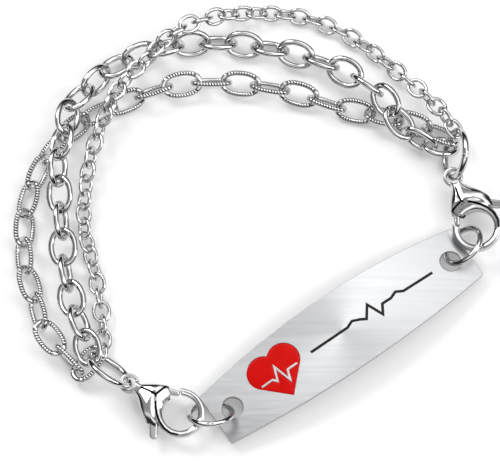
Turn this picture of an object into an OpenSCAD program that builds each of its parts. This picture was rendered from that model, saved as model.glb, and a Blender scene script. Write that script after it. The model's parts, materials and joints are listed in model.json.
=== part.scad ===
// Medical alert bracelet: curved identity plate, two lobster clasps, three loose chains.
// It lies on its underside as an open loop. Millimetres.

/* [Plate] */
// length of the plate, end to end
plate_l = 45; // [40:0.5:50]
// width of the plate in its middle
plate_w = 11.9; // [10:0.1:13]
// width of the plate at its ends
plate_end_w = 8.4; // [7:0.1:9.5]
// thickness of the plate
plate_t = 0.9; // [0.8:0.05:1.1]
// bend radius of the underside, along the length
plate_bend_r = 120; // [100:1:200]
// diameter of the two ring holes
hole_d = 3.1; // [2.8:0.05:3.4]
// distance from a ring hole's centre to its end of the plate
hole_inset = 3; // [2.6:0.05:3.2]
// depth of the enamel pocket and of the engraved line
pocket_depth = 0.3; // [0.2:0.05:0.4]

/* [Emblem] */
// width over both lobes of the enamelled heart
heart_w = 8.4; // [7:0.1:9]
// place of the heart's centre, as a share of the plate's length from its left end
heart_at = 0.251; // [0.24:0.001:0.27]
// width of the raised line on the heart
heart_line_w = 0.32; // [0.25:0.01:0.45]

/* [Engraved line] */
// length of the engraved pulse line, as a share of the plate's length
pulse_share = 0.484; // [0.4:0.001:0.5]
// height of the engraved pulse line, peak to peak
pulse_h = 2.5; // [2:0.1:4]
// width of the engraved stroke
pulse_stroke = 0.42; // [0.35:0.01:0.6]
// place of its centre, as a share of the plate's length from its left end
pulse_at = 0.618; // [0.61:0.001:0.63]

/* [Rings] */
// outer diameter of the rings at the plate
plate_ring_od = 7.1; // [6.9:0.05:7.3]
// wire diameter of the rings at the plate
plate_ring_wire = 0.9; // [0.84:0.02:0.94]
// outer diameter of the rings that gather the chains
chain_ring_od = 8; // [7.8:0.05:8.4]
// wire diameter of the rings that gather the chains
ring_wire = 1; // [0.9:0.02:1.06]

/* [Clasps] */
// distance from the eye's centre to the centre of the hook's opening
clasp_reach = 8.65; // [8.5:0.05:8.8]
// diameter of the hook's opening
hook_open_d = 5.2; // [5.1:0.05:5.3]
// width of the hook's wall
hook_wall = 1; // [0.9:0.05:1.1]
// thickness of the hook's wall
hook_t = 1.3; // [1.2:0.05:1.4]
// thickness of the domed body in its middle
body_t = 2.9; // [2.8:0.05:3.1]
// diameter of the eye's hole
eye_hole_d = 1.9; // [1.7:0.05:2]
// width of the eye's wall
eye_wall = 0.65; // [0.6:0.05:0.8]
// diameter of the lever's pivot pin
pin_d = 0.8; // [0.7:0.05:0.9]
// thickness of the lever
lever_t = 1; // [0.9:0.05:1.1]
// width of the gate bar
gate_w = 0.84; // [0.7:0.02:0.9]
// width of the thumb trigger
trigger_w = 1.2; // [1:0.05:1.3]
// angle through which the lever swings to open the gate
lever_travel = 20; // [15:1:24]

/* [Chains] */
// outer length of a plain cable link
cable_l = 6.1; // [6:0.02:6.2]
// outer width of a plain cable link
cable_w = 4.6; // [4.4:0.02:4.7]
// wire diameter of the plain cable links
cable_wire = 0.9; // [0.8:0.02:0.92]
// outer length of a milled link
milled_l = 6.3; // [6.2:0.02:6.4]
// outer width of a milled link
milled_w = 4.1; // [4:0.02:4.3]
// wire diameter of the milled links
milled_wire = 0.8; // [0.7:0.02:0.82]
// outer length of a fine link
fine_l = 3.6; // [3.55:0.01:3.7]
// outer width of a fine link
fine_w = 2.9; // [2.8:0.01:3]
// wire diameter of the fine links
fine_wire = 0.58; // [0.5:0.01:0.6]

/* [Hidden] */
$fn = 64;

// named clearances
inlay_gap = 0.02;      // enamel and black fill in their pockets
bore_gap = 0.04;       // pin in the lever's bore, per side
press_gap = 0.015;     // pin in the body's bores, per side
slot_gap = 0.12;       // lever in the body's slot, per side
tip_gap = 0.12;        // gate's end to the hook's end
ring_play = 0.3;       // a chain ring's wire to the link that hangs on it
left_play = 0.78;      // the left plate ring's wire to the hook's wall
right_play = 1.69;     // the same on the right
left_lift = 0.04;      // the left hook above the plate's end
right_lift = 1.94;     // the right hook above the height of its ring's wire
rest_gap = 0.3;        // a plate end above the ring wire below it
fine_play = 0.2;       // the same for the fine chain's end links
link_slack = 0.37;     // slack at each joint of the two large chains
fine_slack = 0.25;     // slack at each joint of the fine chain

steel = [0.80, 0.81, 0.83];
brushed = [0.68, 0.69, 0.70];
enamel = [0.76, 0.08, 0.12];
black = [0.04, 0.04, 0.05];

// where the whole lies, so that its box is centred on the origin
shift = [-1.2, -0.98];

// vectors
function xyz(p, z) = [p[0], p[1], z];
function dir(a) = [cos(a), sin(a)];
function unit(v) = v / norm(v);
function mix(a, b, t) = a + (b - a) * t;
// turns a list of two circles into the outline around both
function taper(c1, r1, c2, r2, n = 12) =
    let (d = c2 - c1, a = atan2(d[1], d[0]), b = acos((r1 - r2) / norm(d)))
    concat(
        [for (i = [0:n]) c2 + r2 * dir(a - b + 2 * b * i / n)],
        [for (i = [0:n]) c1 + r1 * dir(a + b + (360 - 2 * b) * i / n)]);
function sector(c, r, a0, a1, n = 12) =
    concat([c], [for (i = [0:n]) c + r * dir(a0 + (a1 - a0) * i / n)]);

// plate
plate_mid = [13.45, -16.55] + shift;
plate_dir = 34.7;
plate_z = plate_ring_wire + rest_gap;                        // underside at the ends
plate_rise = plate_bend_r - sqrt(pow(plate_bend_r, 2) - pow(plate_l / 2, 2));
function plate_under(x) = plate_z + plate_rise
    - (plate_bend_r - sqrt(pow(plate_bend_r, 2) - x * x));
hole_x = plate_l / 2 - hole_inset;
hole_z = plate_under(hole_x) + plate_t / 2;
left_hole = plate_mid - hole_x * dir(plate_dir);
right_hole = plate_mid + hole_x * dir(plate_dir);
side_sag = (plate_w - plate_end_w) / 2;
side_r = (pow(plate_l / 2, 2) + pow(side_sag, 2)) / (2 * side_sag);

module at_plate() {
    translate(xyz(plate_mid, 0)) rotate([0, 0, plate_dir]) children();
}

// a slab that follows the plate's bend, from height a to height b above its underside
module bent_slab(a, b) {
    translate([0, 0, plate_z + plate_rise - plate_bend_r]) rotate([90, 0, 0]) difference() {
        cylinder(r = plate_bend_r + b, h = plate_w + 4, center = true, $fn = 360);
        cylinder(r = plate_bend_r + a, h = plate_w + 6, center = true, $fn = 360);
    }
}

module plate_outline() {
    intersection() {
        square([plate_l, plate_w + 1], center = true);
        translate([0, plate_w / 2 - side_r]) circle(r = side_r, $fn = 360);
        translate([0, side_r - plate_w / 2]) circle(r = side_r, $fn = 360);
    }
}

heart_x = heart_at * plate_l;
pulse_l = pulse_share * plate_l;
pulse_x = pulse_at * plate_l;

// heart: two lobes on a square that stands on its corner; grow widens it all round
heart_lobe = heart_w / (2 + sqrt(2));
function heart_pts(grow, n = 16) =
    let (r = heart_lobe + grow, h = heart_lobe / sqrt(2), e = acos(h / r))
    concat(
        [[0, -2 * h - grow * sqrt(2)]],
        [for (i = [0:n]) [h, h] + r * dir(-45 + (225 - e) * i / n)],
        [for (i = [1:n]) [-h, h] + r * dir(e + (225 - e) * i / n)]);
module heart(grow) {
    translate([heart_x - plate_l / 2, -0.25]) polygon(heart_pts(grow));
}

// outline of a line of width w along points p, with mitred corners
function stroke(p, w) =
    let (
        n = len(p),
        side = [for (i = [0:n - 2]) let (d = unit(p[i + 1] - p[i])) [-d[1], d[0]]],
        out = [for (i = [0:n - 1]) let (
            a = side[max(i - 1, 0)], b = side[min(i, n - 2)], m = unit(a + b))
            m * w / 2 / (m * b)])
    concat([for (i = [0:n - 1]) p[i] + out[i]], [for (i = [n - 1:-1:0]) p[i] - out[i]]);
module pulse(shape, l, h, w) {
    polygon(stroke([for (p = shape) [p[0] * l, p[1] * h]], w));
}

// points of the two pulse lines, as shares of their length and height
heart_shape = [[-0.5, 0], [-0.2, 0], [-0.12, -0.2], [0.01, 0.5], [0.14, -0.5], [0.23, 0], [0.5, 0]];
engraved_shape = [[-0.5, 0], [-0.2, 0], [-0.15, 0.18], [-0.1, 0], [-0.06, -0.2], [0, 0.5],
    [0.05, -0.5], [0.09, 0.05], [0.16, 0.05], [0.21, 0.22], [0.26, 0], [0.5, 0]];
module heart_line(w) {
    translate([heart_x - plate_l / 2, -0.1])
        pulse(heart_shape, heart_w * 0.74 - (heart_line_w - w), heart_w * 0.34, w);
}
module engraved_line(w) {
    translate([pulse_x - plate_l / 2, 0])
        pulse(engraved_shape, pulse_l - (pulse_stroke - w), pulse_h, w);
}

module pocket() {
    linear_extrude(20) difference() {
        heart(0);
        heart_line(heart_line_w);
    }
    linear_extrude(20) engraved_line(pulse_stroke);
}

module id_plate() {
    color(brushed) at_plate() difference() {
        intersection() {
            linear_extrude(20) plate_outline();
            bent_slab(0, plate_t);
        }
        for (s = [-1, 1]) translate([s * hole_x, 0, -1]) cylinder(d = hole_d, h = 20);
        intersection() {
            pocket();
            bent_slab(plate_t - pocket_depth, plate_t + 3);
        }
    }
}

module enamel_emblem() {
    color(enamel) at_plate() intersection() {
        linear_extrude(20) difference() {
            heart(-inlay_gap);
            heart_line(heart_line_w + 2 * inlay_gap);
        }
        bent_slab(plate_t - pocket_depth + inlay_gap, plate_t - 0.06);
    }
}

module engraving_fill() {
    color(black) at_plate() intersection() {
        linear_extrude(20) engraved_line(pulse_stroke - 2 * inlay_gap);
        bent_slab(plate_t - pocket_depth + inlay_gap, plate_t - 0.05);
    }
}

// rings
// A ring leans: its heading runs from one hung end to the other, its top leans to side.
plate_ring_r = (plate_ring_od - plate_ring_wire) / 2;
chain_ring_r = (chain_ring_od - ring_wire) / 2;
left_ring_tilt = 46.7;
right_ring_tilt = 45.5;
left_gather_tilt = 61;
right_gather_tilt = 67;
function ring_up(heading, tilt, side) = [
    cos(heading + side * 90) * cos(tilt), sin(heading + side * 90) * cos(tilt), sin(tilt)];
function ring_z(r, tilt, wire) = r * sin(tilt) + wire / 2;
// a point on the ring's centre line, a counted from the heading towards the top
function ring_pt(c, r, heading, tilt, side, a) =
    c + r * (cos(a) * xyz(dir(heading), 0) + sin(a) * ring_up(heading, tilt, side));
function ring_tan(heading, tilt, side, a) =
    -sin(a) * xyz(dir(heading), 0) + cos(a) * ring_up(heading, tilt, side);
// angle below the heading at which the ring passes height z
function ring_dip(r, tilt, z, wire) = asin((z - ring_z(r, tilt, wire)) / (r * sin(tilt)));
// centre of a ring whose far (k = 1) or near (k = -1) end passes through point p
function ring_centre(p, r, heading, tilt, side, k, wire) =
    let (b = ring_dip(r, tilt, p[2], wire), a = k > 0 ? b : 180 - b)
    p - (ring_pt([0, 0, 0], r, heading, tilt, side, a));

module wire_ring(c, r, heading, tilt, side, wire) {
    translate(c) rotate([0, 0, heading]) rotate([side * tilt, 0, 0])
        rotate_extrude($fn = 96) translate([r, 0]) circle(d = wire, $fn = 32);
}

left_ring_dir = 4.3;
right_ring_dir = -120.9;
left_side = -1;
right_side = 1;
// where each ring passes its hole, from the hole's centre
left_hole_seat = [-0.17, -0.19];
right_hole_seat = [-0.1, 0.01];
left_ring_c = ring_centre(xyz(left_hole + left_hole_seat, hole_z), plate_ring_r, left_ring_dir,
    left_ring_tilt, left_side, 1, plate_ring_wire);
right_ring_c = ring_centre(xyz(right_hole + right_hole_seat, hole_z), plate_ring_r,
    right_ring_dir, right_ring_tilt, right_side, 1, plate_ring_wire);

module left_plate_ring() {
    color(steel) wire_ring(left_ring_c, plate_ring_r, left_ring_dir, left_ring_tilt, left_side,
        plate_ring_wire);
}
module right_plate_ring() {
    color(steel) wire_ring(right_ring_c, plate_ring_r, right_ring_dir, right_ring_tilt,
        right_side, plate_ring_wire);
}

// clasps
// Clasp frame: the eye's centre is the origin, +X runs to the hook, +Y to the gate.
open_r = hook_open_d / 2;
hook_r = open_r + hook_wall;
hook_c = [clasp_reach, 0];
eye_r = eye_hole_d / 2 + eye_wall;
eye_t = 0.95;
eye_edge = 0.25;       // slope of the eye's hole towards its faces
body_c = [clasp_reach - 3.3, -0.45];
body_r = 2.8;
neck_c = [eye_r - 0.35, 0];
neck_r = 0.8;
dome_r = 7;
pivot = [clasp_reach - 4.25, -0.3];
hub_r = 1;
gate_root_r = 0.72;
trigger_root_r = 0.78;
elbow = pivot + [0.7, 2.05];
gate_tip = pivot + [2.35, 2.6];
trigger_tip = pivot + [2.6, -4.5];
tip_reach = norm(gate_tip - pivot) + gate_w / 2 + tip_gap;
slot_h = lever_t + 2 * slot_gap;
bore_top = 4;

// outline that an arm from the pivot over e to t sweeps as the lever opens clockwise
function turned(v, a) = [v[0] * cos(a) - v[1] * sin(a), v[0] * sin(a) + v[1] * cos(a)];
function sweep(e, t, r1, r2) =
    let (
        d = unit(e - pivot), l = [-d[1], d[0]], over = 2 * d,
        far = norm(t - pivot) + 2,
        shut = atan2(t[1] - pivot[1], t[0] - pivot[0]),
        ft = unit(t - pivot), fl = [-ft[1], ft[0]])
    [pivot + r1 * l, e + r2 * l, e + r2 * l + over,
        pivot + far * dir(shut - lever_travel / 3), pivot + far * dir(shut - 2 * lever_travel / 3),
        pivot + turned(t - pivot - r2 * fl + 2 * ft, -lever_travel - 1),
        pivot + turned(t - pivot - r2 * fl, -lever_travel - 1),
        pivot + turned(-r1 * l, -lever_travel)];

module body_dome() {
    z = dome_r - body_t / 2;
    intersection() {
        linear_extrude(8, center = true) polygon(taper(neck_c, neck_r, body_c, body_r, 20));
        translate([body_c[0] - 0.5, body_c[1], -z]) rotate([90, 0, 0]) sphere(r = dome_r, $fn = 96);
        translate([body_c[0] - 0.5, body_c[1], z]) rotate([90, 0, 0]) sphere(r = dome_r, $fn = 96);
    }
}

// ring of flat wire with bevelled corners
module flat_ring(ri, w, t) {
    c = min(w, t) * 0.28;
    rotate_extrude($fn = 96) translate([ri, 0]) polygon([
        [0, -t / 2 + c], [c, -t / 2], [w - c, -t / 2], [w, -t / 2 + c],
        [w, t / 2 - c], [w - c, t / 2], [c, t / 2], [0, t / 2 - c]]);
}

module hook() {
    difference() {
        translate(xyz(hook_c, 0)) flat_ring(open_r, hook_wall, hook_t);
        // the gate's end sweeps past here
        linear_extrude(6, center = true)
            polygon(sector(pivot, tip_reach, 8, 100, 24));
    }
}

// the dome ends inside the walls of the hook and of the eye
module cut_dome() {
    difference() {
        body_dome();
        translate(xyz(hook_c, -4)) cylinder(r = open_r + hook_wall / 2, h = 8);
        translate([0, 0, -4]) cylinder(r = eye_hole_d / 2 + eye_wall / 2, h = 8);
    }
}

// the eye: a ring whose hole opens towards both faces
module eye() {
    r = eye_hole_d / 2;
    rotate_extrude($fn = 64) polygon([
        [r, eye_edge - eye_t / 2], [r + eye_edge, -eye_t / 2], [r + eye_wall, -eye_t / 2],
        [r + eye_wall, eye_t / 2], [r + eye_edge, eye_t / 2], [r, eye_t / 2 - eye_edge]]);
}

module clasp_body() {
    difference() {
        union() {
            cut_dome();
            hook();
            eye();
        }
        // free space below the gate bar
        linear_extrude(8, center = true) polygon([
            hook_c + 0.85 * open_r * dir(195), hook_c + 0.85 * open_r * dir(160),
            pivot + [0.85, 2.95], pivot + [3.6, 3.9], hook_c + 0.85 * open_r * dir(100)]);
        // slot of the lever: its hub, and the sweep of its two arms
        linear_extrude(slot_h, center = true) union() {
            translate(pivot) circle(r = hub_r + slot_gap);
            polygon(sweep(elbow, gate_tip, gate_root_r + slot_gap, gate_w * 0.6 + slot_gap));
            polygon(sweep(trigger_tip, trigger_tip, trigger_root_r + slot_gap,
                trigger_w / 2 + slot_gap));
        }
        // bores of the pin
        translate(xyz(pivot, -bore_top)) cylinder(d = pin_d + 2 * press_gap, h = 2 * bore_top);
    }
}

module clasp_pin() {
    translate(xyz(pivot, 0)) cylinder(d = pin_d, h = body_t - 0.12, center = true);
}

module clasp_lever() {
    difference() {
        linear_extrude(lever_t, center = true) union() {
            translate(pivot) circle(r = hub_r);
            polygon(taper(pivot, gate_root_r, elbow, gate_w * 0.6, 14));
            polygon(taper(elbow, gate_w * 0.6, gate_tip, gate_w / 2, 14));
            polygon(taper(pivot, trigger_root_r, trigger_tip, trigger_w / 2, 14));
        }
        translate(xyz(pivot, -lever_t)) cylinder(d = pin_d + 2 * bore_gap, h = 2 * lever_t);
    }
}

// Each clasp hangs on its plate ring: the ring's near end passes the hook's opening.
// The left hook lies over the plate's corner, the right one beside its plate ring.
left_hook_z = plate_z + plate_t + hook_t / 2 + left_lift;
right_hook_z = plate_ring_wire + hook_t / 2 + right_lift;
left_clasp_dir = -30.6;
right_clasp_dir = -67.4;
left_pitch = 0.2;
right_pitch = -3.4;
left_roll = 3.5;
right_roll = 9.8;
left_seat_dir = -15.3;
right_seat_dir = -73.2;
function ring_near(c, heading, tilt, side, z) =
    ring_pt(c, plate_ring_r, heading, tilt, side,
        180 - ring_dip(plate_ring_r, tilt, z, plate_ring_wire));
left_hang = ring_near(left_ring_c, left_ring_dir, left_ring_tilt, left_side, left_hook_z);
right_hang = ring_near(right_ring_c, right_ring_dir, right_ring_tilt, right_side, right_hook_z);
left_open = left_hang - (open_r - plate_ring_wire / 2 - left_play) * xyz(dir(left_seat_dir), 0);
right_open = right_hang
    - (open_r - plate_ring_wire / 2 - right_play) * xyz(dir(right_seat_dir), 0);
// from the opening back to the eye's centre
function to_eye(heading, pitch) =
    clasp_reach * (cos(pitch) * xyz(-dir(heading), 0) + [0, 0, sin(pitch)]);
left_eye = left_open + to_eye(left_clasp_dir, left_pitch);
right_eye = right_open + to_eye(right_clasp_dir, right_pitch);

module at_left_clasp() {
    translate(left_eye) rotate([0, left_pitch, left_clasp_dir]) rotate([left_roll, 0, 0])
        children();
}
module at_right_clasp() {
    translate(right_eye) rotate([0, right_pitch, right_clasp_dir])
        rotate([180 + right_roll, 0, 0]) children();
}

module left_clasp_body() {
    color(steel) at_left_clasp() clasp_body();
}
module left_clasp_lever() {
    color(steel) at_left_clasp() clasp_lever();
}
module left_clasp_pin() {
    color(steel) at_left_clasp() clasp_pin();
}
module right_clasp_body() {
    color(steel) at_right_clasp() clasp_body();
}
module right_clasp_lever() {
    color(steel) at_right_clasp() clasp_lever();
}
module right_clasp_pin() {
    color(steel) at_right_clasp() clasp_pin();
}

// rings that gather the chains, hung in the eyes
left_gather_dir = 141;
right_gather_dir = 89.7;
// where the right ring passes its eye, from the eye's centre
right_eye_seat = [0.01, -0.04, 0];
left_gather_side = 1;
right_gather_side = -1;
left_gather_c = ring_centre(left_eye, chain_ring_r, left_gather_dir, left_gather_tilt,
    left_gather_side, -1, ring_wire);
right_gather_c = ring_centre(right_eye + right_eye_seat, chain_ring_r, right_gather_dir,
    right_gather_tilt, right_gather_side, -1, ring_wire);
module left_chain_ring() {
    color(steel) wire_ring(left_gather_c, chain_ring_r, left_gather_dir, left_gather_tilt,
        left_gather_side, ring_wire);
}
module right_chain_ring() {
    color(steel) wire_ring(right_gather_c, chain_ring_r, right_gather_dir, right_gather_tilt,
        right_gather_side, ring_wire);
}

// chains
// Routes: chosen points [x, y, height, roll] that each chain lies through, left to right.
cable_route = [
    [-24.7, -15.8, 3.51, -35], [-26.8, -8.7, 3.11, -19], [-27.6, -2, 3.41, -17],
    [-28.1, 4.8, 4.24, -32], [-28.3, 9.1, 5.18, -33], [-27.1, 15.6, 5.09, -48],
    [-26, 18.8, 4.31, -40], [-20.7, 24.5, 2.6, -32], [-13.4, 27.9, 1.96, -44],
    [-5.4, 28.9, 1.9, -48], [4.9, 27.4, 2.41, -48], [13, 24.5, 2.92, -63], [18.2, 21, 3.76, -73],
    [20.5, 18.4, 4.47, -44], [22.7, 14.9, 4.07, -19], [27.5, 12.1, 2.18, -19]];
milled_route = [
    [-24.6, -22, 1.87, -4], [-29.6, -16.6, 2.42, 15], [-31.2, -12.6, 2.15, 32],
    [-33.2, -5.1, 1.83, 38], [-33.1, 2.4, 1.81, 47], [-31.5, 8.2, 2, 56], [-27.7, 14.1, 1.91, 45],
    [-22.2, 18, 1.47, 60], [-12.6, 21.7, 2.19, 27], [-3.8, 22.5, 2.19, 32], [6, 21, 2.24, 38],
    [13.1, 18.8, 1.73, 33], [19.5, 17.4, 1.6, 57], [24.6, 16, 1.79, 41]];
fine_route = [
    [-21.5, -15.5, 1.37, 110], [-22.6, -7.9, 1.47, 61], [-24.5, 0.2, 1.73, 37],
    [-24.1, 8, 2.51, 56], [-22.8, 13.4, 3.08, 67], [-21.1, 17.8, 4.17, 63],
    [-18.9, 21.7, 4.39, 71], [-15.5, 25.3, 4.51, 69], [-12.3, 28.8, 4.69, 46],
    [-8.4, 31.3, 4.28, 19], [-2.2, 33.3, 2.48, 56], [6.6, 33.4, 1.34, 45], [13.4, 31, 1.31, 29],
    [18.5, 27.5, 1.58, 50], [21.7, 24.6, 1.96, 30], [25.4, 20.9, 2.95, 3], [28.5, 17.3, 3.92, -12]];

// angles on the gathering rings at which each chain hangs, left and right
cable_hang = [2, -47];
milled_hang = [-18, -32];
fine_hang = [-42, 2];

// a smooth curve through points p, at parameter u counted in points
function spline(p, u) =
    let (n = len(p) - 1, i = min(max(floor(u), 0), n - 1), t = u - i,
        a = p[max(i - 1, 0)], b = p[i], c = p[i + 1], d = p[min(i + 2, n)])
    0.5 * (2 * b + (c - a) * t + (2 * a - 5 * b + 4 * c - d) * t * t
        + (3 * b - a - 3 * c + d) * t * t * t);
steps = 12;
function sample(p) = [for (i = [0:(len(p) - 1) * steps]) spline(p, i / steps)];
function place(q) = [q[0], q[1], q[2]];
function run(q, i = 1, s = [0]) = i >= len(q) ? s
    : run(q, i + 1, concat(s, [s[i - 1] + norm(place(q[i]) - place(q[i - 1]))]));
// point at length s along samples q with run-lengths r
function seek(r, s, lo, hi) = hi - lo <= 1 ? lo
    : let (m = floor((lo + hi) / 2)) r[m] <= s ? seek(r, s, m, hi) : seek(r, s, lo, m);
function along(q, r, s) =
    let (i = seek(r, s, 0, len(r) - 1), t = (s - r[i]) / (r[i + 1] - r[i]))
    mix(q[i], q[i + 1], t);

// roll that turns a link with axis h square to the wire direction w, to the nearest of
// the rolls that the route has there
function fold(a) = a - 180 * round(a / 180);
function square_roll(h, w) =
    let (s = unit([-h[1], h[0], 0]), u = cross(h, s), b = unit(cross(h, w)))
    fold(atan2(b * u, b * s));

function near_turn(a, b) = a + 180 * round((b - a) / 180);

// first or last centre: a link hung on ring point p, lying towards point q
function hung(p, q, l, wire, play) = let (h = unit(place(q) - p))
    p + h * (l / 2 - wire - ring_wire / 2 - play);

// The routes belong to gathering rings that stand at these two homes. Where a ring stands
// elsewhere, each point moves with it, in proportion to its place between the two.
left_home = [-20.47, -22.29] + shift;
right_home = [30.41, 10.74] + shift;
function flat(p) = [p[0], p[1]];
function follow(p) =
    let (
        q = flat(p) + shift, chord = right_home - left_home,
        t = min(max((q - left_home) * chord / (chord * chord), 0), 1),
        m = mix(flat(left_gather_c) - left_home, flat(right_gather_c) - right_home, t))
    [q[0] + m[0], q[1] + m[1], p[2], p[3]];

// full route of a chain with both hung ends; rolls at the ends follow the rings
// and turn the short way from their neighbours'
function full_route(points, hang, l, wire, play, odd) =
    let (
        route = [for (p = points) follow(p)],
        pl = ring_pt(left_gather_c, chain_ring_r, left_gather_dir, left_gather_tilt,
            left_gather_side, hang[0]),
        pr = ring_pt(right_gather_c, chain_ring_r, right_gather_dir, right_gather_tilt,
            right_gather_side, hang[1]),
        a = hung(pl, route[0], l, wire, play),
        b = hung(pr, route[len(route) - 1], l, wire, play),
        ha = unit(place(route[0]) - a), hb = unit(b - place(route[len(route) - 1])),
        wa = ring_tan(left_gather_dir, left_gather_tilt, left_gather_side, hang[0]),
        wb = ring_tan(right_gather_dir, right_gather_tilt, right_gather_side, hang[1]),
        ra = near_turn(square_roll(ha, wa), route[0][3]),
        rb = near_turn(square_roll(hb, wb) - 90 * odd, route[len(route) - 1][3]))
    concat([concat(a, [ra])], route, [concat(b, [rb])]);

// link frames [centre, axis, roll] of a chain; every second link is turned by 90 degrees
// odd is 1 where the last link lies turned to the first one, else 0
function chain_links(full, l, wire, slack, odd) =
    let (
        n0 = len(full) - 1,
        q = sample(full), r = run(q), total = r[len(r) - 1],
        n = 2 * round((total / (l - 2 * wire - slack) - odd) / 2) + odd, pitch = total / n)
    [for (i = [0:n]) let (
        s = min(i * pitch, total - 0.001), c = along(q, r, s),
        e = 0.45 * pitch,
        h = unit(place(along(q, r, min(s + e, total - 0.001))) - place(along(q, r, max(s - e, 0)))))
        [place(c), h, c[3] + (i % 2) * 90]];

// a closed oval of round wire: seg stations round the link, sides round the wire
function oval(l, w, p, a) = let (c = cos(a), s = sin(a)) [
    l / 2 * sign(c) * pow(abs(c), p), w / 2 * sign(s) * pow(abs(s), p), 0];
module oval_link(l, w, wire, p, seg, sides) {
    core = [for (i = [0:seg - 1]) oval(l - wire, w - wire, p, 360 * i / seg)];
    pts = [for (i = [0:seg - 1]) let (
        t = unit(core[(i + 1) % seg] - core[(i + seg - 1) % seg]), o = [t[1], -t[0], 0])
        for (j = [0:sides - 1]) core[i] + wire / 2 * (cos(360 * (j + 0.5) / sides) * o
            + sin(360 * (j + 0.5) / sides) * [0, 0, 1])];
    faces = [for (i = [0:seg - 1], j = [0:sides - 1]) let (
        i2 = (i + 1) % seg, j2 = (j + 1) % sides)
        [i * sides + j, i * sides + j2, i2 * sides + j2, i2 * sides + j]];
    polyhedron(points = pts, faces = faces, convexity = 4);
}

module chain(links, l, w, wire, p, seg, sides) {
    for (k = links) {
        s = unit([-k[1][1], k[1][0], 0]);
        u = cross(k[1], s);
        y = cos(k[2]) * s + sin(k[2]) * u;
        z = cross(k[1], y);
        multmatrix([
            [k[1][0], y[0], z[0], k[0][0]],
            [k[1][1], y[1], z[1], k[0][1]],
            [k[1][2], y[2], z[2], k[0][2]],
            [0, 0, 0, 1]]) oval_link(l, w, wire, p, seg, sides);
    }
}

cable_links = chain_links(full_route(cable_route, cable_hang, cable_l, cable_wire, ring_play, 0),
    cable_l, cable_wire, link_slack, 0);
milled_links = chain_links(full_route(milled_route, milled_hang, milled_l, milled_wire,
    ring_play, 1), milled_l, milled_wire, link_slack, 1);
fine_links = chain_links(full_route(fine_route, fine_hang, fine_l, fine_wire, fine_play, 0),
    fine_l, fine_wire, fine_slack, 0);

module cable_chain() {
    color(steel) chain(cable_links, cable_l, cable_w, cable_wire, 0.95, 12, 6);
}
module milled_chain() {
    color(steel) chain(milled_links, milled_l, milled_w, milled_wire, 0.85, 12, 6);
}
module fine_chain() {
    color(steel) chain(fine_links, fine_l, fine_w, fine_wire, 0.95, 10, 5);
}

id_plate();
enamel_emblem();
engraving_fill();
left_plate_ring();
right_plate_ring();
left_clasp_body();
left_clasp_lever();
left_clasp_pin();
right_clasp_body();
right_clasp_lever();
right_clasp_pin();
left_chain_ring();
right_chain_ring();
fine_chain();
cable_chain();
milled_chain();
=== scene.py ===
import json
import math

import bmesh
import bpy
import numpy as np
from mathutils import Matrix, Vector
from mathutils.geometry import delaunay_2d_cdt


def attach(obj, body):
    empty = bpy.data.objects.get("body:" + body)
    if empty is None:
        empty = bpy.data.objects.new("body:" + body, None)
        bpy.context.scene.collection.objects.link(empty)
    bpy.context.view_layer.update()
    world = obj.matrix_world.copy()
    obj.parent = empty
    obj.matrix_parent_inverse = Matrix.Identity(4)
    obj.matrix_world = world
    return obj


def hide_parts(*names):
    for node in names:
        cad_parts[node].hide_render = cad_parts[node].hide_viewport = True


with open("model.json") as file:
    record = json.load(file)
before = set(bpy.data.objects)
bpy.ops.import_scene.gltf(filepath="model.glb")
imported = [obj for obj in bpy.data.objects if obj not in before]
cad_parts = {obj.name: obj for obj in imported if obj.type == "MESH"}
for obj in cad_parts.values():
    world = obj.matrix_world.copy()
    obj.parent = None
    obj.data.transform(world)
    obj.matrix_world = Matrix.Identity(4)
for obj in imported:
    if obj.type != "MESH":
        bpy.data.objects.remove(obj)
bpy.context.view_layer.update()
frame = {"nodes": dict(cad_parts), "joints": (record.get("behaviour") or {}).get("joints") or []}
nodes = frame["nodes"]
scene = bpy.context.scene

# ---------------------------------------------------------------- sizes, in mm
MM = 0.001
SHIFT = np.array([-1.2, -0.98])
PLATE_L, PLATE_W, PLATE_END_W, PLATE_T, BEND_R = 45.0, 11.9, 8.4, 0.9, 120.0
PLATE_MID = np.array([13.45, -16.55]) + SHIFT
PLATE_DIR = math.radians(34.7)
PLATE_Z = 1.2
HOLE_D, HOLE_X = 3.1, PLATE_L / 2 - 3.0
POCKET = 0.3
HEART_W, HEART_X, HEART_LINE_W = 8.4, 11.3, 0.32
PULSE_L, PULSE_H, PULSE_STROKE, PULSE_X = 21.8, 2.5, 0.42, 27.8
REACH, OPEN_R, HOOK_WALL, HOOK_T = 8.65, 2.6, 1.0, 1.3
PIVOT = np.array([REACH - 4.25, -0.3])
HUB_R, GATE_ROOT, TRIGGER_ROOT = 1.0, 0.72, 0.78
GATE_W, TRIGGER_W, LEVER_T, TRAVEL = 0.84, 1.2, 1.0, 20
ELBOW_R, TIP_R, TRIGGER_R = GATE_W * 0.6, GATE_W / 2, TRIGGER_W / 2
ELBOW, TIP, TRIGGER = PIVOT + (0.7, 2.05), PIVOT + (2.35, 2.6), PIVOT + (2.6, -4.5)
PLAY = 0.12                                 # around the lever in its slot
TIP_REACH = math.hypot(2.35, 2.6) + TIP_R + PLAY
SLOT_H = LEVER_T + 2 * PLAY
# heading, pitch and roll of each clasp
LEFT = tuple(math.radians(a) for a in (-30.6, 0.2, 3.5))
RIGHT = tuple(math.radians(a) for a in (-67.4, -3.4, 189.8))

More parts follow.
